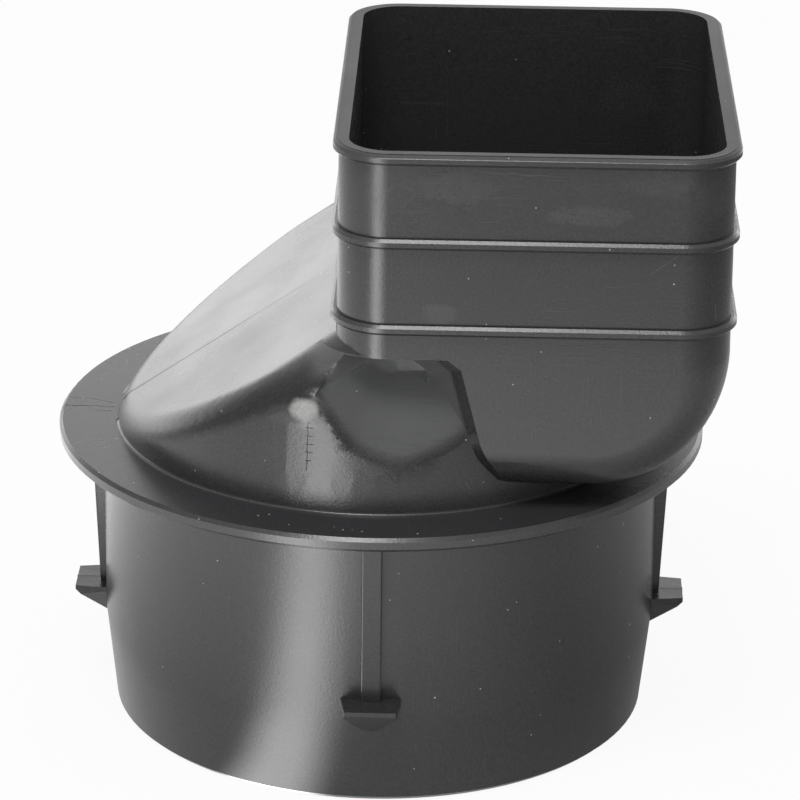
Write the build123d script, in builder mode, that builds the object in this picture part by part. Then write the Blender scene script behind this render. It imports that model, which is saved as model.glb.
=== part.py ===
from build123d import *
import math
import os

# Downspout adapter in millimetres, +Z up.
# The origin is the centre of the round spigot's open lower end, which the part rests on.
# The collar is offset along +X, and the part mirrors about the plane y = 0.

# Round spigot that pushes into the drain pipe
spigot_radius = 50.4            # outside, above the lead-in
lead_in_taper = 1.9             # how much the radius shrinks to the open lower end
lead_in_height = 18.0
spigot_wall = 3.4               # above the lead-in, round a straight bore
spigot_end_chamfer = 0.8

# Flange that stops against the end of the pipe
flange_reach = 8.0              # how far it stands out of the spigot
flange_seat_z = 51.7            # underside, which meets the pipe
flange_thickness = 2.5
flange_edge_chamfer = 0.6

# Snap barbs, each under its own rib
barb_count = 4
barb_reach = 5.5                # how far a barb stands out of the spigot
barb_top_z = 20.6
barb_lip = 0.8                  # thickness of a barb's outer lip
barb_tip_z = 14.2
barb_root_width = 10.6
barb_lip_width = 8.9
barb_tip_width = 2.0
rib_width = 3.5
rib_top_proud = 2.5             # at the flange
rib_foot_proud = 1.1            # at the barb
rib_round = 0.3

# Rectangular collar that takes the downspout
collar_width = 67.4             # outside along X, at its foot
collar_depth = 91.8             # outside along Y, at its foot
collar_offset = 26.7            # from the spigot's axis to the collar's centre
collar_corner = 9.0
collar_foot_rise = 27.8         # from the flange to the underside of the stop ledge
collar_height = 36.4
collar_draft = 0.45             # degrees, narrowing upwards

# Beads round the collar
bead_proud = 1.0
bead_height = 1.8
bead_chamfer = 0.5
low_bead_rise = 5.4             # centre over the collar's foot
middle_bead_rise = 20.7         # centre over the collar's foot
top_bead_drop = 1.0             # centre under the collar's mouth

# Drum that rises from the flange under the roof
drum_step = 2.4                 # how far its foot stands in from the spigot's outside
drum_draft = 4.8                # degrees, narrowing upwards

# Roof that slopes from the collar down to the flange
roof_slope = 34.4               # degrees from level
roof_eaves_rise = 1.5           # over the flange, at the drum's edge
roof_overhang = 0.3             # how far each side of its form runs past the drum's foot
roof_shoulder = 11.5            # rounding along the roof's two sides
roof_edge_round = 7.0           # rounding along the drum's edge

# Elbow whose belly carries the collar over to the drum
elbow_floor_rise = 2.8          # over the flange
belly_reach = 23.0              # along X, from the collar's right side

# Flanks that taper the elbow's two sides off below the collar
flank_depth = 12.0
flank_spread = 10.2             # how far a flank's outline grows over its depth
flank_clearance = 1.0           # how far outside the collar's face the flank's form starts
flank_overrun = 19.6            # how far the form runs past the collar's right side
flank_head = 8.0                # how far the form runs up into the collar
flank_crease_round = 10.0
flank_edge = (                  # edge on the collar's face, as x and the height over the collar's foot
    (34.0, -28.0), (27.0, -23.8), (18.6, -17.4), (14.6, -1.8), (9.4, 2.1),
)

# Pocket in the drum on each side, under the stop ledge
pocket_face_step = 2.1          # from the drum's foot inwards to the plane of the mouth
pocket_depth = 6.5              # from that plane to the floor
pocket_clearance = 4.0          # how far outside the drum the pocket's form starts
pocket_crease_round = 8.0
pocket_rim_round = 2.0
pocket_corners = (
    # in the mouth, on the floor, each as x and the height over the collar's foot
    ((24.0, 0.0), (18.0, 0.0)),
    ((24.0, -19.5), (18.0, -4.0)),
    ((3.1, -16.7), (2.4, -4.4)),
    ((-3.3, -14.6), (1.4, -4.0)),
    ((-11.5, -7.5), (0.0, -2.0)),
    ((-8.0, 0.0), (0.0, 0.0)),
)

wall = 1.7                      # collar, drum, roof, elbow and pockets

lead_in_radius = spigot_radius - lead_in_taper
spigot_bore_radius = spigot_radius - spigot_wall
flange_radius = spigot_radius + flange_reach
flange_top_z = flange_seat_z + flange_thickness
collar_foot_z = flange_top_z + collar_foot_rise
collar_top_z = collar_foot_z + collar_height
collar_right = collar_offset + collar_width / 2
bead_centres = (collar_foot_z + low_bead_rise, collar_foot_z + middle_bead_rise,
                collar_top_z - top_bead_drop)
drum_radius = spigot_radius - drum_step
elbow_floor_z = flange_top_z + elbow_floor_rise
drum_taper = math.tan(math.radians(drum_draft))
collar_taper = math.tan(math.radians(collar_draft))
pocket_face_y = drum_radius - pocket_face_step
pocket_floor_y = pocket_face_y - pocket_depth
side = Plane(origin=(0, 0, collar_foot_z), x_dir=(1, 0, 0), z_dir=(0, -1, 0))


def drum(inset):
    """Tapered round drum, which the roof cuts off."""
    root = drum_radius - inset + drum_taper * flange_thickness
    head = drum_radius - inset - drum_taper * (collar_top_z - flange_top_z)
    with BuildPart() as body:
        with BuildSketch(Plane.XZ):
            with BuildLine():
                Polyline((0, flange_seat_z), (root, flange_seat_z), (head, collar_top_z), (0, collar_top_z),
                         close=True)
            make_face()
        revolve(axis=Axis.Z)
    return body.part


def roof(inset):
    """Long sloping duct whose rounded top is the roof."""
    slope = math.radians(roof_slope)
    uphill = (math.cos(slope), 0, math.sin(slope))
    eaves_z = flange_top_z + roof_eaves_rise
    eaves = Plane(origin=(-drum_radius, 0, eaves_z), x_dir=(0, 1, 0), z_dir=uphill)
    half_width = drum_radius + roof_overhang
    depth = 3 * drum_radius
    with BuildPart() as body:
        with BuildSketch(eaves.offset(-drum_radius)):
            with Locations((0, -inset - depth / 2)):
                RectangleRounded(2 * (half_width - inset), depth, roof_shoulder - inset)
        extrude(amount=4 * drum_radius)
    return body.part


def widened(corners, amount):
    """Corners of a closed outline whose sides have all moved out by the amount."""
    moved = []
    for before, corner, after in zip(corners[-1:] + corners[:-1], corners, corners[1:] + corners[:1]):
        first = (Vector(*corner) - Vector(*before)).normalized().rotate(Axis.Z, 90)
        second = (Vector(*after) - Vector(*corner)).normalized().rotate(Axis.Z, 90)
        step = (first + second) * (amount / (1 + first.dot(second)))
        moved.append((corner[0] + step.X, corner[1] + step.Y))
    return moved


def flank(inset):
    """Form that widens inwards from the collar's two faces and trims the elbow to its flanks."""
    face = collar_depth / 2 - inset
    far = collar_right + flank_overrun
    outline = ((flank_edge[-1][0], flank_head), (far, flank_head), (far, flank_edge[0][1])) + flank_edge
    slope = flank_spread / flank_depth
    with BuildPart() as body:
        with BuildSketch(side.offset(face + flank_clearance)):
            with BuildLine():
                Polyline(widened(outline, -inset - flank_clearance * slope), close=True)
            make_face()
        with BuildSketch(side.offset(face - flank_depth)):
            with BuildLine():
                Polyline(widened(outline, flank_spread - inset), close=True)
            make_face()
        loft(ruled=True)
        creases = body.edges().filter_by(lambda e: abs((e @ 1).Y - (e @ 0).Y) > flank_depth / 2)
        left = creases.filter_by(lambda e: e.center().X < flank_edge[0][0] - 1)
        fillet(left.sort_by(Axis.Z)[:3], flank_crease_round)
        mirror(about=Plane.XZ)
        with BuildSketch(side.offset(face - flank_depth)):
            with BuildLine():
                Polyline(widened(outline, flank_spread - inset), close=True)
            make_face()
        extrude(amount=-2 * (face - flank_depth))
    return body.part


def elbow(inset):
    """Box from the spigot's axis to the collar's right side, whose outer lower edge is the belly."""
    right = collar_right - inset
    floor = elbow_floor_z + inset
    turn = (collar_right - belly_reach, collar_foot_z + inset)
    with BuildPart() as body:
        with BuildSketch(Plane.XZ):
            with BuildLine():
                Polyline((turn[0], floor), (0, floor), (0, turn[1]), (right, turn[1]))
                EllipticalCenterArc(turn, right - turn[0], turn[1] - floor, start_angle=270, arc_size=90)
            make_face()
        extrude(amount=collar_depth / 2 - inset, both=True)
        sides = body.faces().filter_by(Axis.Y)
        below = sides.edges().filter_by(lambda e: e.center().X > 1 and e.center().Z < turn[1] - 1)
        fillet(below, collar_corner - inset)
        add(flank(inset), mode=Mode.INTERSECT)
    return body.part


def collar(inset):
    """Rectangular collar with a slight draft."""
    foot_z = collar_foot_z + inset
    shrink = 2 * inset * (1 + collar_taper)
    with BuildPart() as body:
        with BuildSketch(Plane.XY.offset(foot_z)):
            with Locations((collar_offset, 0)):
                RectangleRounded(collar_width - shrink, collar_depth - shrink, collar_corner - inset)
        extrude(amount=collar_top_z - foot_z, taper=collar_draft)
    return body.part


def pocket(inset):
    """Pair of pockets, whose flanks run on past their mouth to clear the drum."""
    start_y = drum_radius + pocket_clearance
    stretch = (start_y - pocket_floor_y) / pocket_depth
    start = [(f[0] + stretch * (m[0] - f[0]), f[1] + stretch * (m[1] - f[1])) for m, f in pocket_corners]
    bottom = [f for m, f in pocket_corners]
    with BuildPart() as body:
        with BuildSketch(side.offset(start_y - inset)):
            with BuildLine():
                Polyline(widened(start, inset), close=True)
            make_face()
        with BuildSketch(side.offset(pocket_floor_y - inset)):
            with BuildLine():
                Polyline(widened(bottom, inset), close=True)
            make_face()
        loft(ruled=True)
        mirror(about=Plane.XZ)
    return body.part


def dome(inset):
    """Drum with its roof and the two pockets, as a closed form."""
    with BuildPart() as body:
        add(drum(inset))
        add(roof(inset), mode=Mode.INTERSECT)
        left = body.edges().filter_by(lambda e: e.center().X < 0 and e.center().Z > flange_top_z + 1)
        curved = left.filter_by(GeomType.LINE, reverse=True)
        fillet(curved, roof_edge_round - inset)
        add(pocket(inset), mode=Mode.SUBTRACT)
    return body.part


def rising(edges, corner):
    """Edges that leave a corner of the pocket's floor for the drum's face, on both sides."""
    spots = [Vector(corner[0], sign * pocket_floor_y, collar_foot_z + corner[1]) for sign in (-1, 1)]
    met = edges.filter_by(lambda e: min((e @ end - spot).length for end in (0, 1) for spot in spots) < 0.01)
    return met.filter_by(lambda e: abs((e @ 0.5).Y) > pocket_floor_y + 0.5)


def bead(centre_z):
    """Band with bevelled edges that stands out of the collar all round."""
    grow = bead_proud - collar_taper * (centre_z - collar_foot_z)
    with BuildPart() as body:
        with BuildSketch(Plane.XY.offset(centre_z - bead_height / 2)):
            with Locations((collar_offset, 0)):
                RectangleRounded(collar_width + 2 * grow, collar_depth + 2 * grow, collar_corner + grow)
        extrude(amount=bead_height)
        chamfer(body.faces().filter_by(Axis.Z).edges(), bead_chamfer)
    return body.part


with BuildPart() as spigot:
    with BuildSketch(Plane.XZ):
        with BuildLine():
            Polyline((0, 0), (lead_in_radius, 0), (spigot_radius, lead_in_height),
                     (spigot_radius, flange_seat_z), (flange_radius, flange_seat_z),
                     (flange_radius, flange_top_z), (0, flange_top_z), close=True)
        make_face()
    revolve(axis=Axis.Z)
    rims = spigot.edges().filter_by(GeomType.CIRCLE)
    chamfer(rims.filter_by(lambda e: e.radius > (spigot_radius + flange_radius) / 2), flange_edge_chamfer)
    chamfer(rims.sort_by(Axis.Z)[0], spigot_end_chamfer)

root_radius = (spigot_bore_radius + spigot_radius) / 2

with BuildPart() as barb:
    lip_radius = spigot_radius + barb_reach
    lip_z = barb_top_z - barb_lip
    tip_radius = lead_in_radius + (spigot_radius - lead_in_radius) * barb_tip_z / lead_in_height
    half_root = barb_root_width / 2
    half_lip = barb_lip_width / 2
    half_tip = barb_tip_width / 2
    with BuildSketch(Plane.XZ):
        with BuildLine():
            Polyline((root_radius, barb_top_z), (lip_radius, barb_top_z), (lip_radius, lip_z),
                     (tip_radius, barb_tip_z), (root_radius, barb_tip_z), close=True)
        make_face()
    extrude(amount=half_root, both=True)
    with BuildSketch(Plane.YZ):
        with BuildLine():
            Polyline((-half_root, barb_top_z), (half_root, barb_top_z), (half_root, lip_z),
                     (half_tip, barb_tip_z), (-half_tip, barb_tip_z), (-half_root, lip_z), close=True)
        make_face()
    extrude(amount=lip_radius, mode=Mode.INTERSECT)
    with BuildSketch(Plane.XY.offset(barb_tip_z)):
        with BuildLine():
            Polyline((root_radius, -half_root), (spigot_radius, -half_root), (lip_radius, -half_lip),
                     (lip_radius, half_lip), (spigot_radius, half_root), (root_radius, half_root),
                     close=True)
        make_face()
    extrude(amount=barb_top_z - barb_tip_z, mode=Mode.INTERSECT)

with BuildPart() as rib:
    rib_top_z = flange_seat_z + flange_thickness / 2
    with BuildSketch(Plane.XZ):
        with BuildLine():
            Polyline((root_radius, lip_z), (spigot_radius + rib_foot_proud, lip_z),
                     (spigot_radius + rib_top_proud, rib_top_z), (root_radius, rib_top_z), close=True)
        make_face()
    extrude(amount=rib_width / 2, both=True)
    fillet(rib.faces().sort_by(Axis.X)[-1].edges().filter_by(Axis.Y, reverse=True), rib_round)

with BuildPart() as hollow:
    add(dome(wall))
    add(elbow(wall))
    add(collar(wall))
    with BuildSketch():
        Circle(spigot_bore_radius)
    extrude(amount=flange_seat_z)

with BuildPart() as adapter_body:
    add(dome(0))
    for corner in [f for m, f in pocket_corners[2:4]]:
        fillet(rising(adapter_body.edges(), corner), pocket_crease_round)
    rim_top_z = collar_foot_z + pocket_corners[4][0][1] + 1
    outer = adapter_body.faces().filter_by(GeomType.CONE).edges()
    rim = outer.filter_by(lambda e: abs((e @ 0.5).Y) > pocket_floor_y + 1)
    fillet(rim.filter_by(lambda e: elbow_floor_z < (e @ 0.5).Z < rim_top_z), pocket_rim_round)
    add(elbow(0))
    add(collar(0))
    for centre_z in bead_centres:
        add(bead(centre_z))
    add(spigot.part)
    with PolarLocations(0, barb_count):
        add(barb.part)
        add(rib.part)
    add(hollow.part, mode=Mode.SUBTRACT)

adapter_body.part.label = "adapter_body"
os.makedirs("parts", exist_ok=True)
export_step(adapter_body.part, "parts/adapter_body.step")
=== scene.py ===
import math

import bpy
from mathutils import Matrix, Vector


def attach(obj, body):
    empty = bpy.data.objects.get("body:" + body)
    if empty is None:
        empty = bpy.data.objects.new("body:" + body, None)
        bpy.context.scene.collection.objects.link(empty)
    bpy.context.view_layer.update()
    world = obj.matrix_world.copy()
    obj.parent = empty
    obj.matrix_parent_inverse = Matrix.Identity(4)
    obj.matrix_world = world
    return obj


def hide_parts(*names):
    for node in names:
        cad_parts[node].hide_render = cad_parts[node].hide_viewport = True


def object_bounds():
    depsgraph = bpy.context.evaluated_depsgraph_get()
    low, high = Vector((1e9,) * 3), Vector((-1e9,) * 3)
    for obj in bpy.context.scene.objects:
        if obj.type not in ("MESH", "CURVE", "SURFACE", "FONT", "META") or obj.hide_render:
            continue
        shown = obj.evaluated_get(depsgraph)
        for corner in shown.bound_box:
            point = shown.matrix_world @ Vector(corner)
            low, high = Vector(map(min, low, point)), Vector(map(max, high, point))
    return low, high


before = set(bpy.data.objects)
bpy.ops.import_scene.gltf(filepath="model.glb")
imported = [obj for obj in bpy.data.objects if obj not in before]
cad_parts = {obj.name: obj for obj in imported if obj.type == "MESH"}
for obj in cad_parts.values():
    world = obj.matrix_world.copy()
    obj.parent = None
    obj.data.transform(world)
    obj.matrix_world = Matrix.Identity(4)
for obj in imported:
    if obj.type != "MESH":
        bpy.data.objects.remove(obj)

CAD_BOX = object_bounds()

bl_info = {
    "name": "Downspout Adapter",
    "version": (1, 0, 0),
    "blender": (4, 5, 0),
    "location": "3D View > Sidebar > Adapter",
    "description": "Finishes a moulded downspout adapter and sets it on a pale studio floor",
    "category": "Add Mesh",
}


# Places on the moulding in metres, where x runs towards the collar and z upwards
RIM_TOP = CAD_BOX[1][2]
FLANGE_TOP = 0.0542
SPIGOT_RADIUS = 0.0504
DRUM_FOOT_RADIUS = 0.0480
DRUM_TAPER = 0.084
COLLAR_FOOT = 0.0820
BARB_TOP = 0.0210

# Box round each pocket and its borders, with y counted to either side. A face that comes nearer to the middle
# than the pocket's side, or that looks up more than the roof's tilt, doesn't belong to it
POCKET_X = (-0.0160, 0.0115)
POCKET_Y = (0.0380, 0.0475)
POCKET_Z = (0.0600, 0.0816)
POCKET_SIDE = 0.0300
ROOF_TILT = 0.5

# Part of that box in which the borders are blended. What lies right of and above the crisp corner, or left of
# and above the roof's corner, given over x and z, stays as it was cut
BLEND_LEFT = -0.0129
BLEND_Z = (0.0606, 0.0806)
CRISP_CORNER = (0.0030, 0.0670)
ROOF_CORNER = (-0.0085, 0.0742)
SLIVER = 0.00004

# Knob where the drum, the roof's rounded edge and the pocket meet, and the rings in which it is swelled
KNOB = (-0.0121, 0.0449, 0.0721)
KNOB_RINGS = (0.0026, 0.0020, 0.0014, 0.0008)
KNOB_REACH = 0.0034

# Where the wear of the pockets begins to either side and, fading in, along x
WORN_SIDE = 0.037
WORN_START = (-0.0125, -0.0085)

# The parting line runs over the roof and the flange, left of the roof's right end and within its half width
ROOF_RIGHT = -0.0075
ROOF_HALF = 0.030
ROOF_Z = (FLANGE_TOP - 0.0001, 0.0860)
RIDGE_END = 0.0580

# Points nearer than this are one, and faces that meet flatter than this are one
WELD = 0.000002
FLAT = math.radians(0.2)


# Sizes and colours that a user may change

class MouldingSettings(bpy.types.PropertyGroup):
    smooth_angle: bpy.props.FloatProperty(
        name="Smooth Angle", description="Edges flatter than this are shaded smooth",
        default=math.radians(28), subtype="ANGLE")
    edge_softness: bpy.props.FloatProperty(
        name="Edge Softness", description="Width of the rounding along every sharp edge",
        default=0.00018, unit="LENGTH")
    foot_round: bpy.props.FloatProperty(
        name="Drum Foot Rounding", description="Rounding of the corner between the drum and the flange",
        default=0.00055, unit="LENGTH")
    pocket_cell: bpy.props.FloatProperty(
        name="Pocket Cell", description="Size of the cells that the pockets are divided into",
        default=0.0008, unit="LENGTH")
    pocket_softness: bpy.props.IntProperty(
        name="Pocket Softness", description="How often the pockets are smoothed", default=36)
    knob_height: bpy.props.FloatProperty(
        name="Knob Height", description="How far the knob beside each pocket swells out of the drum",
        default=0.0006, unit="LENGTH")
    parting_height: bpy.props.FloatProperty(
        name="Parting Ridge Height", description="How far the parting line stands out of the wall",
        default=0.00012, unit="LENGTH")
    parting_width: bpy.props.FloatProperty(
        name="Parting Ridge Width", description="Width of the parting line over its foot",
        default=0.0007, unit="LENGTH")


class PlasticSettings(bpy.types.PropertyGroup):
    colour: bpy.props.FloatVectorProperty(
        name="Colour", description="Colour of the clean moulded plastic",
        default=(0.033, 0.033, 0.035), subtype="COLOR")
    rubbed: bpy.props.FloatVectorProperty(
        name="Rubbed Colour", description="Colour where handling has rubbed the surface pale",
        default=(0.085, 0.086, 0.088), subtype="COLOR")
    # Also the colour of the painted highlight on the front knob
    dust: bpy.props.FloatVectorProperty(
        name="Dust Colour", description="Colour of the dust specks",
        default=(0.50, 0.50, 0.49), subtype="COLOR")
    roughness: bpy.props.FloatProperty(
        name="Roughness", description="Roughness of the clean moulded plastic",
        default=0.26, min=0, max=1, subtype="FACTOR")


class StudioSettings(bpy.types.PropertyGroup):
    floor_size: bpy.props.FloatProperty(
        name="Floor Size", description="Side of the square floor", default=8.0, unit="LENGTH")
    ring_radius: bpy.props.FloatProperty(
        name="Ring Radius", description="Where the mirrored floor is brightest round the object",
        default=0.20, unit="LENGTH")
    ring_strength: bpy.props.FloatProperty(
        name="Ring Strength", description="How bright that ring of floor is in reflections", default=2.55)
    strip_angle: bpy.props.FloatProperty(
        name="Strip Angle", description="Direction of the bright strip, left of straight ahead",
        default=math.radians(22), subtype="ANGLE")
    strip_strength: bpy.props.FloatProperty(
        name="Strip Strength", description="How bright the strip is in reflections", default=7.0)
    lamp_size: bpy.props.FloatProperty(
        name="Lamp Size", description="Side of the square overhead lamp", default=0.45, unit="LENGTH")
    lamp_power: bpy.props.FloatProperty(
        name="Lamp Power", description="Power of the overhead lamp", default=9.5, unit="POWER")
    ambient: bpy.props.FloatProperty(
        name="Ambient", description="Even light from all round", default=0.62)


# Node helpers

def add_node(tree, kind, x, y, **values):
    """Places a node and sets its options and its unlinked inputs, which are given by name or number."""
    node = tree.nodes.new(kind)
    node.location = (x, y)
    for name, value in values.items():
        if name == "inputs":
            for socket, number in value.items():
                node.inputs[socket].default_value = number
        else:
            setattr(node, name, value)
    return node


def feed(tree, socket, value):
    """Links an input to another socket, or sets its value. None leaves it as it is."""
    if isinstance(value, bpy.types.NodeSocket):
        tree.links.new(value, socket)
    elif value is not None:
        socket.default_value = value


def math_node(tree, operation, x, y, a=None, b=None, c=None, clamp=False):
    """A Math node whose inputs are either numbers or sockets."""
    node = add_node(tree, "ShaderNodeMath", x, y, operation=operation, use_clamp=clamp)
    for slot, value in enumerate((a, b, c)):
        feed(tree, node.inputs[slot], value)
    return node.outputs[0]


def vector_node(tree, operation, x, y, a, b=None):
    """A Vector Math node whose inputs are either values or sockets."""
    node = add_node(tree, "ShaderNodeVectorMath", x, y, operation=operation)
    feed(tree, node.inputs[0], a)
    feed(tree, node.inputs["Scale" if operation == "SCALE" else 1], b)
    return node.outputs["Value" if operation in ("DOT_PRODUCT", "DISTANCE", "LENGTH") else "Vector"]


def split_node(tree, x, y, vector):
    """The sockets X, Y and Z of a vector."""
    node = add_node(tree, "ShaderNodeSeparateXYZ", x, y)
    feed(tree, node.inputs[0], vector)
    return node.outputs


def range_node(tree, x, y, value, start, end, low=0.0, high=1.0, smooth=False):
    """A Map Range node that takes the values from start to end over to those from low to high."""
    node = add_node(tree, "ShaderNodeMapRange", x, y, interpolation_type="SMOOTHSTEP" if smooth else "LINEAR",
                    inputs={"From Min": start, "From Max": end, "To Min": low, "To Max": high})
    feed(tree, node.inputs["Value"], value)
    return node.outputs["Result"]


def noise_node(tree, x, y, vector, scale, detail, roughness=0.5, output="Fac"):
    """A Noise Texture node over the given vector."""
    node = add_node(tree, "ShaderNodeTexNoise", x, y, inputs={"Detail": detail, "Roughness": roughness})
    feed(tree, node.inputs["Vector"], vector)
    feed(tree, node.inputs["Scale"], scale)
    return node.outputs[output]


def mix_colours(tree, x, y, below, above, share):
    """A Mix node that covers one colour with another."""
    node = add_node(tree, "ShaderNodeMix", x, y, data_type="RGBA")
    feed(tree, node.inputs["A"], below)
    feed(tree, node.inputs["B"], (*above, 1))
    feed(tree, node.inputs["Factor"], share)
    return node.outputs["Result"]


def new_group(name, inputs, outputs):
    """Makes an empty shader node group. Returns its tree, the sockets that come in and those that go out.

    The inputs are a default for each name, where a vector may have none. The outputs are plain values.
    """
    tree = bpy.data.node_groups.new(name, "ShaderNodeTree")
    for label, value in inputs.items():
        kind = "NodeSocketFloat" if isinstance(value, float) else "NodeSocketVector"
        feed(tree, tree.interface.new_socket(name=label, in_out="INPUT", socket_type=kind), value)
    for label in outputs:
        tree.interface.new_socket(name=label, in_out="OUTPUT", socket_type="NodeSocketFloat")
    entry = add_node(tree, "NodeGroupInput", -900, 0)
    leave = add_node(tree, "NodeGroupOutput", 900, 0)
    return tree, entry.outputs, leave.inputs


def place_group(tree, name, x, y, vector, **inputs):
    """Puts a node group in a material with its own values. An underscore in a name stands for a space."""
    node = add_node(tree, "ShaderNodeGroup", x, y, node_tree=bpy.data.node_groups[name])
    node.label = name
    feed(tree, node.inputs["Vector"], vector)
    for label, value in inputs.items():
        node.inputs[label.replace("_", " ")].default_value = value
    return node.outputs


def empty_tree(owner):
    """The node tree of a material or a world, cleared."""
    owner.use_nodes = True
    owner.node_tree.nodes.clear()
    return owner.node_tree


# Shared surface effects

def make_grain_group():
    """Fine moulded grain, with slow changes of gloss from the cooling of the wall."""
    tree, entry, leave = new_group(
        "Moulded Grain", {"Vector": None, "Grain Scale": 2400.0, "Cloud Scale": 38.0}, ("Height", "Clouds"))
    fine = noise_node(tree, -600, 200, entry["Vector"], entry["Grain Scale"], 2.0, 0.6)
    slow = noise_node(tree, -600, -200, entry["Vector"], entry["Cloud Scale"], 4.0, 0.55)
    feed(tree, leave["Height"], fine)
    feed(tree, leave["Clouds"], slow)


def make_scratch_group():
    """Fine hairline scratches that mostly run one way, broken up by a slow noise."""
    tree, entry, leave = new_group(
        "Hairline Scratches", {"Vector": None, "Stretch": (60.0, 60.0, 2600.0), "Amount": 0.5}, ("Mask",))
    stretched = vector_node(tree, "MULTIPLY", -700, 100, entry["Vector"], entry["Stretch"])
    lines = noise_node(tree, -500, 100, stretched, 1.0, 2.0)
    sharp = range_node(tree, -300, 100, lines, 0.60, 0.72)
    patches = noise_node(tree, -500, -200, entry["Vector"], 55.0, 3.0)
    kept = range_node(tree, -300, -200, patches, 0.50, 0.68)
    both = math_node(tree, "MULTIPLY", -60, 0, sharp, kept)
    feed(tree, leave["Mask"], math_node(tree, "MULTIPLY", 200, 0, both, entry["Amount"], clamp=True))


def make_facing_group():
    """Whether a face stands upright or lies level, and whether it looks away from the plane of symmetry."""
    tree, entry, leave = new_group("Wall Facing", {"Vector": None}, ("Upright", "Level", "Outward"))
    faces = add_node(tree, "ShaderNodeNewGeometry", -700, 100)
    normal = split_node(tree, -500, 100, faces.outputs["True Normal"])
    place = split_node(tree, -500, -200, entry["Vector"])
    tilt = math_node(tree, "ABSOLUTE", -300, 100, normal["Z"])
    upright = range_node(tree, -100, 150, tilt, 0.60, 0.35, smooth=True)
    level = math_node(tree, "SUBTRACT", 200, 0, 1.0, upright)
    away = math_node(tree, "MULTIPLY", -100, -200, normal["Y"], place["Y"])
    feed(tree, leave["Upright"], upright)
    feed(tree, leave["Level"], level)
    feed(tree, leave["Outward"], math_node(tree, "GREATER_THAN", 200, -200, away, 0.0))


def make_pocket_group():
    """Where the wall sinks below the tapered drum: the pocket itself, and the band along its border."""
    tree, entry, leave = new_group(
        "Pocket Depth",
        {"Vector": None, "Foot Radius": DRUM_FOOT_RADIUS, "Foot Height": FLANGE_TOP, "Taper": DRUM_TAPER},
        ("Sunk", "Border"))
    place = split_node(tree, -700, 100, entry["Vector"])
    across = math_node(tree, "MULTIPLY", -500, 200, place["X"], place["X"])
    both = math_node(tree, "MULTIPLY_ADD", -300, 200, place["Y"], place["Y"], across)
    radius = math_node(tree, "SQRT", -100, 200, both)
    above = math_node(tree, "SUBTRACT", -500, -100, place["Z"], entry["Foot Height"])
    lost = math_node(tree, "MULTIPLY", -300, -100, above, entry["Taper"])
    drum = math_node(tree, "SUBTRACT", -100, -100, entry["Foot Radius"], lost)
    depth = math_node(tree, "SUBTRACT", 100, 100, drum, radius)
    sunk = range_node(tree, 300, 200, depth, 0.0001, 0.0014, smooth=True)
    deep = range_node(tree, 300, -100, depth, 0.0012, 0.0030, smooth=True)

    # Only beside the middle, between the flange and the collar's foot, and fading in behind the knob
    aside = math_node(tree, "ABSOLUTE", 100, -350, place["Y"])
    beside = math_node(tree, "GREATER_THAN", 300, -350, aside, WORN_SIDE)
    under = math_node(tree, "LESS_THAN", 300, -500, place["Z"], COLLAR_FOOT + 0.0002)
    over = math_node(tree, "GREATER_THAN", 300, -650, place["Z"], FLANGE_TOP + 0.0018)
    beyond = range_node(tree, 300, -800, place["X"], *WORN_START, smooth=True)
    within = math_node(tree, "MULTIPLY", 450, -400, beside, under)
    within = math_node(tree, "MULTIPLY", 500, -500, within, over)
    within = math_node(tree, "MULTIPLY", 550, -500, within, beyond)
    here = math_node(tree, "MULTIPLY", 600, 200, sunk, within)
    bottom = math_node(tree, "MULTIPLY", 600, -100, deep, within)
    feed(tree, leave["Sunk"], here)
    feed(tree, leave["Border"], math_node(tree, "SUBTRACT", 750, -100, here, bottom, clamp=True))


def make_line_group():
    """A thin straight mark between two points, in the plane that the flattened vector leaves."""
    tree, entry, leave = new_group(
        "Line Mark", {"Vector": None, "Start": None, "End": None, "Half Width": 0.0001}, ("Mask",))
    along = vector_node(tree, "SUBTRACT", -700, 200, entry["End"], entry["Start"])
    place = vector_node(tree, "SUBTRACT", -700, -100, entry["Vector"], entry["Start"])
    passed = vector_node(tree, "DOT_PRODUCT", -500, 100, place, along)
    whole = vector_node(tree, "DOT_PRODUCT", -500, -100, along, along)
    share = math_node(tree, "DIVIDE", -300, 0, passed, whole, clamp=True)
    foot = vector_node(tree, "SCALE", -100, 100, along, share)
    gap = vector_node(tree, "DISTANCE", 100, 0, place, foot)
    ratio = math_node(tree, "DIVIDE", 300, 0, gap, entry["Half Width"])
    feed(tree, leave["Mask"], range_node(tree, 500, 0, ratio, 1.0, 0.3, smooth=True))


def make_dust_group():
    """Sparse pale specks of dust and plastic swarf."""
    tree, entry, leave = new_group(
        "Dust Specks", {"Vector": None, "Cell Scale": 260.0, "Speck Size": 0.06, "Rarity": 0.80}, ("Mask",))
    cells = add_node(tree, "ShaderNodeTexVoronoi", -600, 100, feature="F1")
    feed(tree, cells.inputs["Vector"], entry["Vector"])
    feed(tree, cells.inputs["Scale"], entry["Cell Scale"])
    near = math_node(tree, "LESS_THAN", -300, 200, cells.outputs["Distance"], entry["Speck Size"])
    split = add_node(tree, "ShaderNodeSeparateColor", -300, -50)
    feed(tree, split.inputs[0], cells.outputs["Color"])
    rare = math_node(tree, "GREATER_THAN", -100, -50, split.outputs[0], entry["Rarity"])
    feed(tree, leave["Mask"], math_node(tree, "MULTIPLY", 150, 100, near, rare))


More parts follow.
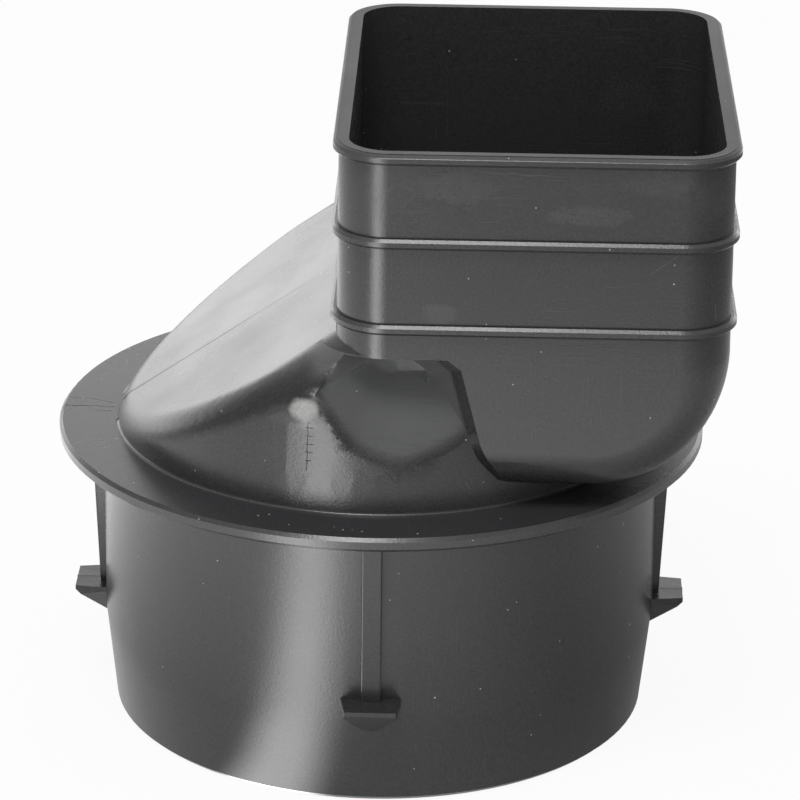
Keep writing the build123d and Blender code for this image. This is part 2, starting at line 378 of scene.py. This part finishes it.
def make_patch_group():
    """A soft-edged oval patch of surface, set by its centre and three half sizes, with a ragged border."""
    tree, entry, leave = new_group(
        "Worn Patch", {"Vector": None, "Centre": None, "Half Size": (0.01, 0.01, 0.01), "Ragged": 0.35},
        ("Mask",))
    offset = vector_node(tree, "SUBTRACT", -700, 100, entry["Vector"], entry["Centre"])
    share = vector_node(tree, "DIVIDE", -500, 100, offset, entry["Half Size"])
    reach = vector_node(tree, "LENGTH", -300, 100, share)
    rough = noise_node(tree, -500, -200, entry["Vector"], 260.0, 3.0)
    swing = math_node(tree, "SUBTRACT", -300, -200, rough, 0.5)
    shift = math_node(tree, "MULTIPLY", -100, -200, swing, entry["Ragged"])
    edge = math_node(tree, "ADD", 50, 100, reach, shift)
    feed(tree, leave["Mask"], range_node(tree, 300, 100, edge, 1.0, 0.45, smooth=True))


class ADAPTER_OT_surface_groups(bpy.types.Operator):
    """Builds the node groups that the finishes share"""
    bl_idname = "adapter.surface_groups"
    bl_label = "Surface Groups"

    def execute(self, context):
        make_grain_group()
        make_scratch_group()
        make_facing_group()
        make_pocket_group()
        make_line_group()
        make_dust_group()
        make_patch_group()
        return {"FINISHED"}


# Finishes

# Marks on the front of the collar and drum, as start, end and half width in millimetres over x and z
FRONT_SCRATCHES = (
    ((-0.3, 109.5), (1.4, 111.8), 0.10), ((1.4, 111.8), (3.9, 113.1), 0.09),
    ((3.9, 113.1), (6.0, 112.3), 0.09), ((16.3, 115.6), (28.7, 115.0), 0.10),
    ((33.2, 117.0), (33.3, 116.0), 0.12), ((45.9, 98.1), (50.8, 101.7), 0.09),
    ((57.2, 92.4), (57.3, 89.4), 0.14), ((15.9, 59.4), (16.6, 57.9), 0.16),
    ((16.5, 60.2), (16.8, 59.2), 0.12), ((2.2, 81.2), (6.5, 81.3), 0.10),
    ((5.0, 80.6), (13.0, 80.9), 0.09), ((7.0, 81.7), (12.0, 81.6), 0.09),
)
FRONT_TICKS = (
    ((-11.3, 70.0), (-11.6, 61.5), 0.06), ((-11.6, 69.0), (-10.4, 69.1), 0.06),
    ((-11.6, 67.6), (-10.6, 67.6), 0.05), ((-11.7, 66.1), (-10.3, 66.1), 0.06),
    ((-11.7, 64.7), (-10.7, 64.6), 0.05), ((-11.8, 63.3), (-10.9, 63.3), 0.05),
    ((1.9, 62.3), (3.6, 60.1), 0.05),
)
# Marks inside the collar, on its back wall
INNER_SCRATCHES = (
    ((2.1, 99.7), (10.6, 99.4), 0.30), ((10.5, 107.7), (10.7, 93.3), 0.12), ((8.6, 94.6), (8.7, 92.6), 0.20),
)
# Cracked skin on the flange where the mould halves met, over x and y
FLANGE_CRACKS = (
    ((-58.1, 0.3), (-54.0, 0.5), 0.22), ((-54.0, 0.5), (-48.8, 0.2), 0.16),
    ((-57.4, 4.6), (-53.0, 4.1), 0.12), ((-53.0, 4.1), (-49.2, 2.2), 0.14),
    ((-52.0, -1.9), (-48.9, -1.7), 0.14),
)
# Mottled scuffs on the collar and round the pocket, as centre, half size and strength, in metres
SCUFFS = (
    ((0.0356, -0.0459, 0.1080), (0.0085, 0.0030, 0.0022), 0.9),
    ((0.0133, -0.0459, 0.1124), (0.0080, 0.0030, 0.0034), 0.5),
    ((0.0479, -0.0459, 0.1140), (0.0080, 0.0040, 0.0032), 0.7),
    ((0.0109, -0.0459, 0.0902), (0.0036, 0.0030, 0.0024), 1.0),
    ((0.0561, -0.0440, 0.1120), (0.0040, 0.0060, 0.0060), 0.5),
    ((0.0445, 0.0442, 0.1010), (0.0085, 0.0030, 0.0050), 0.35),
    ((-0.0030, -0.0440, 0.1080), (0.0060, 0.0060, 0.0090), 0.5),
    ((-0.0095, -0.0452, 0.0735), (0.0030, 0.0030, 0.0036), 1.0),
    ((0.0015, -0.0470, 0.0640), (0.0085, 0.0040, 0.0030), 1.0),
)
# Painted highlight: a pale patch on the front knob that makes it look as if it caught the light
KNOB_PAINTED_HIGHLIGHT = (-0.0119, -0.0449, 0.0722)
KNOB_PAINTED_HIGHLIGHT_HALF = (0.0030, 0.0034, 0.0024)


def marks(tree, vector, lines, plane, where, level):
    """Joins straight marks, given in millimetres over two of the axes, into one mask kept to one wall."""
    mask = None
    for number, (start, end, half) in enumerate(lines):
        ends = []
        for a, b in (start, end):
            ends.append((a / 1000, 0, b / 1000) if plane == "XZ" else (a / 1000, b / 1000, 0))
        line = place_group(tree, "Line Mark", -900, level - 220 * number, vector,
                           Start=ends[0], End=ends[1], Half_Width=half / 1000)["Mask"]
        mask = line if mask is None else math_node(tree, "MAXIMUM", -600, level - 220 * number, mask, line)
    return math_node(tree, "MULTIPLY", -400, level, mask, where)


def pocket_wear(tree, place, pocket, facing):
    """Wear in the pockets, which catch on everything: brushed floors and speckled borders."""
    sunk = math_node(tree, "MULTIPLY", -700, 700, pocket["Sunk"], facing["Outward"])
    border = math_node(tree, "MULTIPLY", -700, 850, pocket["Border"], facing["Outward"])
    streaks = vector_node(tree, "MULTIPLY", -900, -1000, place, (160.0, 160.0, 3800.0))
    brushing = noise_node(tree, -700, -1000, streaks, 1.0, 3.0, 0.6)
    pale = range_node(tree, -500, -1000, brushing, 0.25, 0.75, 0.70, 1.50)
    speckle = noise_node(tree, -700, -900, place, 4200.0, 2.0)
    flecks = range_node(tree, -500, -800, speckle, 0.48, 0.66, -0.6, 1.0)
    floor_wear = math_node(tree, "MULTIPLY", -300, -1000, pale, sunk)
    border_wear = math_node(tree, "MULTIPLY", -300, -850, flecks, border)
    faint = math_node(tree, "MULTIPLY", -200, -850, border_wear, 0.3)
    return math_node(tree, "ADD", -150, -900, floor_wear, faint, clamp=True)


def hairlines(tree, axes, upright, level, sloped, facing):
    """Hairlines on the standing walls, level on the collar and upright below it, and on the flat faces."""
    high = range_node(tree, -900, 1100, axes["Z"], COLLAR_FOOT - 0.0005, COLLAR_FOOT + 0.0005)
    low = math_node(tree, "SUBTRACT", -700, 1100, 1.0, high)
    on_collar = math_node(tree, "MULTIPLY", -650, 100, level["Mask"], high)
    on_drum = math_node(tree, "MULTIPLY", -650, 200, upright["Mask"], low)
    standing = math_node(tree, "ADD", -560, 150, on_collar, on_drum)
    walls = math_node(tree, "MULTIPLY", -500, 150, standing, facing["Upright"])
    flats = math_node(tree, "MULTIPLY", -500, 50, sloped["Mask"], facing["Level"])
    return walls, flats


def single_marks(tree, place, axes, facing):
    """Single marks on the front and inside the collar, the dark ones, and where the flange's top is."""
    wander = noise_node(tree, -1600, -300, place, 420.0, 2.0, output="Color")
    centred = vector_node(tree, "SUBTRACT", -1500, -300, wander, (0.5, 0.5, 0.5))
    slight = vector_node(tree, "SCALE", -1400, -300, centred, 0.0007)
    wandering = vector_node(tree, "ADD", -1300, -300, place, slight)
    over_xz = vector_node(tree, "MULTIPLY", -1200, -300, wandering, (1, 0, 1))
    over_xy = vector_node(tree, "MULTIPLY", -1200, -500, wandering, (1, 1, 0))
    before = math_node(tree, "LESS_THAN", -1000, 1300, axes["Y"], 0.0)
    front = math_node(tree, "MULTIPLY", -800, 1300, before, facing["Outward"])
    behind = math_node(tree, "SUBTRACT", -1000, 1500, 1.0, before)
    inward = math_node(tree, "SUBTRACT", -900, 1600, 1.0, facing["Outward"])
    inner = math_node(tree, "MULTIPLY", -800, 1500, behind, inward)
    at_flange = math_node(tree, "COMPARE", -900, 1700, axes["Z"], FLANGE_TOP - 0.0002, 0.0006)
    flange = math_node(tree, "MULTIPLY", -800, 1700, facing["Level"], at_flange)
    singles = marks(tree, over_xz, FRONT_SCRATCHES, "XZ", front, 6000)
    inner_marks = marks(tree, over_xz, INNER_SCRATCHES, "XZ", inner, 4000)
    ticks = marks(tree, over_xz, FRONT_TICKS, "XZ", front, 8000)
    cracks = marks(tree, over_xy, FLANGE_CRACKS, "XY", flange, 10000)
    dark = math_node(tree, "ADD", -200, 1800, ticks, cracks, clamp=True)
    return singles, inner_marks, dark, flange


def scuffs(tree, place):
    """Mottled scuffs from handling."""
    scuffed = None
    for number, (centre, half, share) in enumerate(SCUFFS):
        row = -1600 - 250 * number
        patch = place_group(tree, "Worn Patch", -900, row, place, Centre=centre, Half_Size=half, Ragged=1.2)
        part = math_node(tree, "MULTIPLY", -600, row, patch["Mask"], share)
        scuffed = part if scuffed is None else math_node(tree, "MAXIMUM", -400, row, scuffed, part)
    mottle = noise_node(tree, -900, -1400, place, 3400.0, 3.0)
    mottled = range_node(tree, -700, -1400, mottle, 0.30, 0.72, 0.0, 1.2)
    return math_node(tree, "MULTIPLY", -200, -1500, scuffed, mottled)


def specks_and_knob_highlight(tree, place, dust, lint, flange, grain):
    """Dust and lint all over, dust that settled on the flange, and a painted highlight on the knob beside the
    pocket.
    """
    settled = place_group(tree, "Dust Specks", -900, -550, place,
                          Cell_Scale=620.0, Speck_Size=0.09, Rarity=0.78)
    on_flange = math_node(tree, "MULTIPLY", -700, -550, settled["Mask"], flange)
    specks = math_node(tree, "MAXIMUM", -500, -500, dust["Mask"], lint["Mask"])
    specks = math_node(tree, "MAXIMUM", -450, -500, specks, on_flange)
    # Painted highlight: a grained pale patch on the front knob, carried along with the specks
    knob_painted_highlight = place_group(tree, "Worn Patch", -900, -4200, place,
                        Centre=KNOB_PAINTED_HIGHLIGHT, Half_Size=KNOB_PAINTED_HIGHLIGHT_HALF, Ragged=0.9)
    grained = math_node(tree, "MULTIPLY_ADD", -450, -600, grain["Height"], 0.8, 0.35)
    knob = math_node(tree, "MULTIPLY", -420, -550, knob_painted_highlight["Mask"], grained)
    return math_node(tree, "MAXIMUM", -400, -500, specks, knob)


def surface_colour(tree, settings, grain, dark, paled, specks):
    """The plastic's colour, speckled by its grain, with dark marks, pale wear, dust and the knob's painted
    highlight over it.
    """
    speckled = range_node(tree, 0, 500, grain["Height"], 0.3, 0.7, 0.72, 1.28)
    grained = add_node(tree, "ShaderNodeVectorMath", 100, 500, operation="SCALE", inputs={0: settings.colour})
    lost = math_node(tree, "MULTIPLY", -100, 700, dark, 0.7)
    left = math_node(tree, "SUBTRACT", 0, 700, 1.0, lost)
    feed(tree, grained.inputs["Scale"], math_node(tree, "MULTIPLY", 50, 600, speckled, left))
    worn = mix_colours(tree, 200, 300, grained.outputs[0], settings.rubbed, paled)
    # The dust colour also paints the highlight on the front knob
    return mix_colours(tree, 500, 300, worn, settings.dust, specks)


def surface_roughness(tree, settings, axes, facing, grain, dark, paled, specks):
    """Slow changes of gloss, duller where the surface is worn, marked or dusty, on the knob's painted
    highlight and on the cut rim.
    """
    sheen = range_node(tree, 200, 0, grain["Clouds"], 0.3, 0.7,
                       settings.roughness - 0.04, settings.roughness + 0.05)
    rougher = math_node(tree, "MULTIPLY", 200, -200, paled, 0.22)
    total = math_node(tree, "ADD", 500, 0, sheen, rougher)
    high = math_node(tree, "GREATER_THAN", 200, -350, axes["Z"], RIM_TOP - 0.0005)
    rim = math_node(tree, "MULTIPLY", 300, -300, high, facing["Level"])
    cut = math_node(tree, "MULTIPLY", 350, -350, rim, 0.3)
    marred = math_node(tree, "MULTIPLY_ADD", 400, -300, dark, 0.5, cut)
    dull = math_node(tree, "MULTIPLY_ADD", 500, -250, specks, 0.4, marred)
    return math_node(tree, "ADD", 750, 0, total, dull, clamp=True)


def surface_normal(tree, grain, dark, rubbed):
    """The grain, the grooves of the dark marks and the roughened pockets as bump."""
    grooves = math_node(tree, "MULTIPLY", 0, -500, dark, 2.5)
    relief = math_node(tree, "SUBTRACT", 200, -500, grain["Height"], grooves)
    raised = math_node(tree, "MULTIPLY_ADD", 500, -500, rubbed, 1.2, relief)
    bump = add_node(tree, "ShaderNodeBump", 900, -400, inputs={"Strength": 0.6, "Distance": 0.00004})
    feed(tree, bump.inputs["Height"], raised)
    return bump.outputs["Normal"]


def make_plastic(settings):
    """Satin black polyethylene with grain, hairline scratches, rubbed patches, dust and a painted highlight
    on the front knob.
    """
    material = bpy.data.materials.new("satin_black_polyethylene")
    tree = empty_tree(material)
    output = add_node(tree, "ShaderNodeOutputMaterial", 1500, 0)
    shader = add_node(tree, "ShaderNodeBsdfPrincipled", 1200, 0, inputs={"IOR": 1.5, "Metallic": 0.0})
    feed(tree, output.inputs[0], shader.outputs[0])
    place = add_node(tree, "ShaderNodeTexCoord", -1200, 0).outputs["Object"]

    grain = place_group(tree, "Moulded Grain", -900, 500, place, Grain_Scale=2400.0, Cloud_Scale=38.0)
    upright = place_group(tree, "Hairline Scratches", -900, 200, place,
                          Stretch=(3600.0, 3600.0, 70.0), Amount=0.5)
    level = place_group(tree, "Hairline Scratches", -900, -100, place,
                        Stretch=(60.0, 60.0, 4200.0), Amount=0.7)
    sloped = place_group(tree, "Hairline Scratches", -900, 0, place,
                         Stretch=(50.0, 3600.0, 50.0), Amount=0.4)
    facing = place_group(tree, "Wall Facing", -1200, 300, place)
    pocket = place_group(tree, "Pocket Depth", -1200, 600, place)
    dust = place_group(tree, "Dust Specks", -900, -400, place,
                       Cell_Scale=260.0, Speck_Size=0.040, Rarity=0.84)
    lint = place_group(tree, "Dust Specks", -900, -700, place,
                       Cell_Scale=640.0, Speck_Size=0.075, Rarity=0.93)

    rubbed = pocket_wear(tree, place, pocket, facing)
    axes = split_node(tree, -1100, 1100, place)
    walls, flats = hairlines(tree, axes, upright, level, sloped, facing)
    singles, inner_marks, dark, flange = single_marks(tree, place, axes, facing)
    scratches = math_node(tree, "ADD", -420, 100, walls, flats)
    scratches = math_node(tree, "ADD", -400, 120, scratches, singles)
    faint = math_node(tree, "MULTIPLY", -390, 160, inner_marks, 0.35)
    scratches = math_node(tree, "ADD", -380, 140, scratches, faint, clamp=True)
    scuffed = math_node(tree, "MULTIPLY", -260, -80, scuffs(tree, place), 0.42)
    worn_down = math_node(tree, "ADD", -250, -60, rubbed, scuffed)
    scraped = math_node(tree, "MULTIPLY", -380, 60, scratches, 0.55)
    paled = math_node(tree, "ADD", -250, 0, scraped, worn_down, clamp=True)
    # Dust specks together with the painted highlight on the front knob
    specks = specks_and_knob_highlight(tree, place, dust, lint, flange, grain)

    feed(tree, shader.inputs["Base Color"], surface_colour(tree, settings, grain, dark, paled, specks))
    feed(tree, shader.inputs["Roughness"],
         surface_roughness(tree, settings, axes, facing, grain, dark, paled, specks))
    feed(tree, shader.inputs["Normal"], surface_normal(tree, grain, dark, rubbed))
    return material


# Pieces

def deselect_all():
    bpy.ops.object.select_all(action="DESELECT")


def take_up(piece):
    """Makes a piece the only selected and active one."""
    deselect_all()
    piece.select_set(True)
    bpy.context.view_layer.objects.active = piece


def select_only(piece, kind, wanted):
    """Opens edit mode with only those faces, edges or points selected that pass the test, and counts them."""
    take_up(piece)
    bpy.ops.object.mode_set(mode="EDIT")
    bpy.ops.mesh.select_mode(type=kind)
    bpy.ops.mesh.select_all(action="DESELECT")
    bpy.ops.object.mode_set(mode="OBJECT")
    mesh = piece.data
    count = 0
    for element in {"FACE": mesh.polygons, "EDGE": mesh.edges, "VERT": mesh.vertices}[kind]:
        if wanted(element):
            element.select = True
            count += 1
    bpy.ops.object.mode_set(mode="EDIT")
    return count


def slice_faces(piece, wanted, point, normal):
    """Cuts the faces that pass the test along a plane."""
    if select_only(piece, "FACE", lambda face: wanted(piece, face)):
        bpy.ops.mesh.bisect(plane_co=point, plane_no=normal)
    bpy.ops.object.mode_set(mode="OBJECT")


def between(value, ends):
    return ends[0] < value < ends[1]


def faces_pocket(piece, face):
    """Whether an outer face reaches into the box of one of the two pockets."""
    corners = [piece.data.vertices[i].co for i in face.vertices]
    xs = [corner.x for corner in corners]
    ys = [abs(corner.y) for corner in corners]
    zs = [corner.z for corner in corners]
    along = min(xs) < POCKET_X[1] and max(xs) > POCKET_X[0]
    upward = min(zs) < POCKET_Z[1] and max(zs) > POCKET_Z[0]
    beside = max(ys) > POCKET_Y[0] and min(ys) > POCKET_SIDE
    outward = face.normal.y * face.center.y > 0 and face.normal.z < ROOF_TILT
    return along and upward and beside and outward


def soften_pockets(piece, settings):
    """Divides the pockets into small cells, blends their borders into the drum and swells their knobs."""
    step = settings.pocket_cell
    for number in range(1, int((POCKET_X[1] - POCKET_X[0]) / step)):
        slice_faces(piece, faces_pocket, (POCKET_X[0] + number * step, 0, 0), (1, 0, 0))
    for number in range(1, int((POCKET_Z[1] - POCKET_Z[0]) / step)):
        slice_faces(piece, faces_pocket, (0, 0, POCKET_Z[0] + number * step), (0, 0, 1))

    def outer(point):
        x, y, z = point.co
        inside = between(x, POCKET_X) and between(abs(y), POCKET_Y) and between(z, POCKET_Z)
        return inside and point.normal.y * y > 0

    def blended(point):
        x, z = point.co.x, point.co.z
        crisp = x >= CRISP_CORNER[0] and z >= CRISP_CORNER[1]
        roof = x <= ROOF_CORNER[0] and z >= ROOF_CORNER[1]
        return outer(point) and x > BLEND_LEFT and between(z, BLEND_Z) and not crisp and not roof

    def near_knob(reach):
        def near(point):
            x, y, z = point.co
            return outer(point) and math.hypot(x - KNOB[0], abs(y) - KNOB[1], z - KNOB[2]) < reach
        return near

    # Slivers that the cuts leave beside older points are closed up before the smoothing
    select_only(piece, "VERT", blended)
    bpy.ops.mesh.remove_doubles(threshold=SLIVER)
    bpy.ops.mesh.vertices_smooth(factor=0.5, repeat=settings.pocket_softness)
    bpy.ops.object.mode_set(mode="OBJECT")

    for reach in KNOB_RINGS:
        select_only(piece, "VERT", near_knob(reach))
        bpy.ops.transform.shrink_fatten(value=settings.knob_height / len(KNOB_RINGS))
        bpy.ops.object.mode_set(mode="OBJECT")
    select_only(piece, "VERT", near_knob(KNOB_REACH))
    bpy.ops.mesh.vertices_smooth(factor=0.5, repeat=3)
    bpy.ops.object.mode_set(mode="OBJECT")


def raise_parting_line(piece, settings):
    """Draws the ridge where the mould halves met, along the middle of the roof, the flange and the barbs."""
    half = settings.parting_width / 2
    upward = 0.3

    def crossed(piece, face):
        x, y, z = face.center
        near = min(abs(piece.data.vertices[i].co.y) for i in face.vertices) < 2 * half or abs(y) < ROOF_HALF
        roof = x < ROOF_RIGHT and between(z, ROOF_Z) and face.normal.z > upward
        barb = abs(x) > SPIGOT_RADIUS + 0.0001 and z < BARB_TOP
        return near and (roof or barb)

    for offset in (-half, 0.0, half):
        slice_faces(piece, crossed, (0, offset, 0), (0, 1, 0))

    def on_ridge(point):
        x, y, z = point.co
        roof = x < ROOF_RIGHT and between(z, ROOF_Z) and point.normal.z > upward
        barb = abs(x) > SPIGOT_RADIUS + 0.0008 and z < BARB_TOP
        return abs(y) < 0.00002 and (roof or barb) and abs(x) < RIDGE_END

    select_only(piece, "VERT", on_ridge)
    bpy.ops.transform.shrink_fatten(value=settings.parting_height)
    bpy.ops.object.mode_set(mode="OBJECT")


def round_drum_foot(piece, settings):
    """Rounds the inside corner between the drum and the flange."""
    def at_foot(edge):
        for place in (piece.data.vertices[i].co for i in edge.vertices):
            if abs(place.z - FLANGE_TOP) >= 0.00003:
                return False
            if abs(math.hypot(place.x, place.y) - DRUM_FOOT_RADIUS) >= 0.00015:
                return False
        return True

    select_only(piece, "EDGE", at_foot)
    bpy.ops.mesh.bevel(offset=settings.foot_round, segments=3, affect="EDGES")
    bpy.ops.object.mode_set(mode="OBJECT")


class ADAPTER_OT_moulding(bpy.types.Operator):
    """Makes the moulded body with smooth walls, clean edges and its parting line"""
    bl_idname = "adapter.moulding"
    bl_label = "Moulded Body"

    def execute(self, context):
        settings = context.scene.adapter_moulding
        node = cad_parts["adapter_body"]
        body = bpy.data.objects.new("moulded_body", node.data.copy())
        context.scene.collection.objects.link(body)
        take_up(body)
        bpy.ops.object.mode_set(mode="EDIT")
        bpy.ops.mesh.select_all(action="SELECT")
        bpy.ops.mesh.remove_doubles(threshold=WELD)
        bpy.ops.mesh.dissolve_limited(angle_limit=FLAT, use_dissolve_boundaries=False)
        bpy.ops.object.mode_set(mode="OBJECT")
        round_drum_foot(body, settings)
        soften_pockets(body, settings)
        raise_parting_line(body, settings)
        take_up(body)
        softened = body.modifiers.new("softened_edges", "BEVEL")
        softened.limit_method = "ANGLE"
        softened.angle_limit = settings.smooth_angle
        softened.width = settings.edge_softness
        softened.segments = 2
        softened.loop_slide = False
        bpy.ops.object.modifier_apply(modifier=softened.name)
        bpy.ops.object.mode_set(mode="EDIT")
        bpy.ops.mesh.select_all(action="SELECT")
        bpy.ops.mesh.delete_loose()
        bpy.ops.object.mode_set(mode="OBJECT")
        bpy.ops.object.shade_smooth_by_angle(angle=settings.smooth_angle)
        weighted = body.modifiers.new("weighted_normals", "WEIGHTED_NORMAL")
        weighted.weight = 100
        weighted.keep_sharp = True
        bpy.ops.object.modifier_apply(modifier=weighted.name)
        body.data.materials.clear()
        body.data.materials.append(make_plastic(context.scene.adapter_plastic))
        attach(body, "root")
        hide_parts("adapter_body")
        return {"FINISHED"}


class ADAPTER_OT_studio(bpy.types.Operator):
    """Sets the floor, the lamps, the surroundings and the camera"""
    bl_idname = "adapter.studio"
    bl_label = "Studio"

    def execute(self, context):
        settings = context.scene.adapter_studio
        make_floor(settings)
        make_lamps(settings)
        make_surroundings(settings)
        make_camera()
        context.scene.view_settings.view_transform = "Standard"
        return {"FINISHED"}


# Stage

def sort_rays(tree, path, others, mirrored, seen, output):
    """Shows one shader to the camera, one to glossy rays and one to all the others."""
    glossy = add_node(tree, "ShaderNodeMixShader", 600, 0)
    feed(tree, glossy.inputs[0], path.outputs["Is Glossy Ray"])
    feed(tree, glossy.inputs[1], others.outputs[0])
    feed(tree, glossy.inputs[2], mirrored.outputs[0])
    final = add_node(tree, "ShaderNodeMixShader", 850, 0)
    feed(tree, final.inputs[0], path.outputs["Is Camera Ray"])
    feed(tree, final.inputs[1], glossy.outputs[0])
    feed(tree, final.inputs[2], seen.outputs[0])
    feed(tree, output.inputs[0], final.outputs[0])


def make_floor(settings):
    """A plain pale floor that looks white to the camera and keeps a faint shadow."""
    deselect_all()
    bpy.ops.mesh.primitive_plane_add(size=settings.floor_size, location=(0, 0, 0))
    floor = bpy.context.active_object
    floor.name = "studio_floor"
    material = bpy.data.materials.new("pale_floor")
    tree = empty_tree(material)
    output = add_node(tree, "ShaderNodeOutputMaterial", 1100, 0)
    path = add_node(tree, "ShaderNodeLightPath", -600, 400)
    paint = add_node(tree, "ShaderNodeBsdfDiffuse", -300, 0, inputs={"Color": (0.80, 0.80, 0.80, 1)})
    white = add_node(tree, "ShaderNodeEmission", -300, -200, inputs={"Color": (1, 1, 1, 1), "Strength": 1.0})
    seen = add_node(tree, "ShaderNodeMixShader", 100, 0, inputs={"Fac": 0.93})
    feed(tree, seen.inputs[1], paint.outputs[0])
    feed(tree, seen.inputs[2], white.outputs[0])

    # As the walls mirror it, the floor is brightest in a ring round the object and in a strip to the front
    # left, and it darkens towards the right
    place = add_node(tree, "ShaderNodeTexCoord", -1500, -600).outputs["Object"]
    axes = split_node(tree, -1300, -600, place)
    leftward = math_node(tree, "MULTIPLY", -1150, -450, axes["X"], -1.0)
    forward = math_node(tree, "MULTIPLY", -1150, -600, axes["Y"], -1.0)
    angle = math_node(tree, "ARCTAN2", -1000, -500, leftward, forward)
    reach = vector_node(tree, "LENGTH", -1150, -800, place)
    off_ring = math_node(tree, "SUBTRACT", -1000, -800, reach, settings.ring_radius)
    off_ring = math_node(tree, "ABSOLUTE", -850, -800, off_ring)
    ring = range_node(tree, -650, -800, off_ring, 0.14, 0.0, 0.9, settings.ring_strength, smooth=True)
    off_strip = math_node(tree, "SUBTRACT", -850, -500, angle, settings.strip_angle)
    off_strip = math_node(tree, "ABSOLUTE", -700, -500, off_strip)
    strip = range_node(tree, -500, -500, off_strip, math.radians(15), math.radians(2),
                       0.0, settings.strip_strength, smooth=True)
    right = range_node(tree, -500, -1050, angle, math.radians(-70), math.radians(10), 0.30, 1.0, smooth=True)
    shaded = math_node(tree, "MULTIPLY", -300, -800, ring, right)
    level = math_node(tree, "ADD", -100, -600, shaded, strip)
    mirrored = add_node(tree, "ShaderNodeEmission", 100, -400, inputs={"Color": (1, 1, 1, 1)})
    feed(tree, mirrored.inputs["Strength"], level)
    sort_rays(tree, path, paint, mirrored, seen, output)
    floor.data.materials.append(material)


def make_lamps(settings):
    """One soft square lamp overhead, a little in front and to the left."""
    place = Vector((-0.15, -0.55, 1.40))
    aim = Vector((0, 0, 0.05))
    light = bpy.data.lights.new("overhead_lamp", "AREA")
    light.shape = "SQUARE"
    light.size = settings.lamp_size
    light.energy = settings.lamp_power
    lamp = bpy.data.objects.new("overhead_lamp", light)
    lamp.location = place
    lamp.rotation_euler = (aim - place).to_track_quat("-Z", "Y").to_euler()
    lamp.visible_camera = False
    bpy.context.scene.collection.objects.link(lamp)


def make_surroundings(settings):
    """White for the camera, in mirrors a dim room with a bright wall behind, and even light for the rest."""
    world = bpy.data.worlds.new("studio_room")
    bpy.context.scene.world = world
    tree = empty_tree(world)
    output = add_node(tree, "ShaderNodeOutputWorld", 1100, 0)
    path = add_node(tree, "ShaderNodeLightPath", -200, 500)
    way = add_node(tree, "ShaderNodeTexCoord", -1000, 0).outputs["Generated"]
    axes = split_node(tree, -800, 0, way)
    behind = range_node(tree, -500, 200, axes["Y"], 0.10, 0.60, smooth=True)
    low = range_node(tree, -500, -50, axes["Z"], 0.12, 0.42, 2.70, 0.50, smooth=True)
    above = range_node(tree, -500, -300, axes["Z"], 0.30, 0.95, 0.22, 0.9, smooth=True)
    wall = math_node(tree, "MULTIPLY", -200, 100, behind, low)
    room = math_node(tree, "ADD", 0, 0, wall, above)
    pure = (1, 1, 1, 1)
    shown = add_node(tree, "ShaderNodeBackground", 300, 100, inputs={"Color": pure})
    feed(tree, shown.inputs["Strength"], room)
    even = add_node(tree, "ShaderNodeBackground", 300, -100,
                    inputs={"Color": pure, "Strength": settings.ambient})
    white = add_node(tree, "ShaderNodeBackground", 300, -300, inputs={"Color": pure, "Strength": 1.0})
    sort_rays(tree, path, even, shown, white, output)


def make_camera():
    """A long lens that looks down on the object from the front, as a catalogue picture is taken."""
    turn = math.radians(1.441)
    rise = math.radians(21.119)
    roll = math.radians(0.633)
    reach = 0.741914
    aim_height = 0.060
    image = 800
    focal = 4086.556
    centre = (381.598, 382.979)
    sensor = 36
    back = Vector((math.sin(turn) * math.cos(rise), -math.cos(turn) * math.cos(rise), math.sin(rise)))
    across = (-back).cross(Vector((0, 0, 1))).normalized()
    up = across.cross(-back)
    right = math.cos(roll) * across + math.sin(roll) * up
    top = -math.sin(roll) * across + math.cos(roll) * up
    data = bpy.data.cameras.new("catalogue_camera")
    data.sensor_width = sensor
    data.lens = sensor * focal / image
    data.shift_x = (image / 2 - centre[0]) / image
    data.shift_y = (centre[1] - image / 2) / image
    data.clip_start = 0.05
    data.clip_end = 30
    camera = bpy.data.objects.new("catalogue_camera", data)
    bpy.context.scene.collection.objects.link(camera)
    camera.matrix_world = Matrix((
        (right.x, top.x, back.x, reach * back.x),
        (right.y, top.y, back.y, reach * back.y),
        (right.z, top.z, back.z, aim_height + reach * back.z),
        (0, 0, 0, 1),
    ))
    bpy.context.scene.camera = camera


class ADAPTER_PT_sidebar(bpy.types.Panel):
    """Lists the pieces of the adapter and their settings"""
    bl_idname = "ADAPTER_PT_sidebar"
    bl_label = "Downspout Adapter"
    bl_space_type = "VIEW_3D"
    bl_region_type = "UI"
    bl_category = "Adapter"

    def draw(self, context):
        layout = self.layout
        layout.operator("adapter.surface_groups")
        for names, idname in (
            (("adapter_moulding", "adapter_plastic"), "adapter.moulding"),
            (("adapter_studio",), "adapter.studio"),
        ):
            box = layout.box()
            for name in names:
                settings = getattr(context.scene, name)
                for prop in settings.bl_rna.properties:
                    if prop.identifier not in ("rna_type", "name"):
                        box.prop(settings, prop.identifier)
            box.operator(idname)


CLASSES = (
    MouldingSettings,
    PlasticSettings,
    StudioSettings,
    ADAPTER_OT_surface_groups,
    ADAPTER_OT_moulding,
    ADAPTER_OT_studio,
    ADAPTER_PT_sidebar,
)


def register():
    for cls in CLASSES:
        bpy.utils.register_class(cls)
    bpy.types.Scene.adapter_moulding = bpy.props.PointerProperty(type=MouldingSettings)
    bpy.types.Scene.adapter_plastic = bpy.props.PointerProperty(type=PlasticSettings)
    bpy.types.Scene.adapter_studio = bpy.props.PointerProperty(type=StudioSettings)


def unregister():
    del bpy.types.Scene.adapter_moulding
    del bpy.types.Scene.adapter_plastic
    del bpy.types.Scene.adapter_studio
    for cls in reversed(CLASSES):
        bpy.utils.unregister_class(cls)


def main():
    register()
    bpy.ops.adapter.surface_groups()
    bpy.ops.adapter.moulding()
    bpy.ops.adapter.studio()


if __name__ == "__main__":
    main()
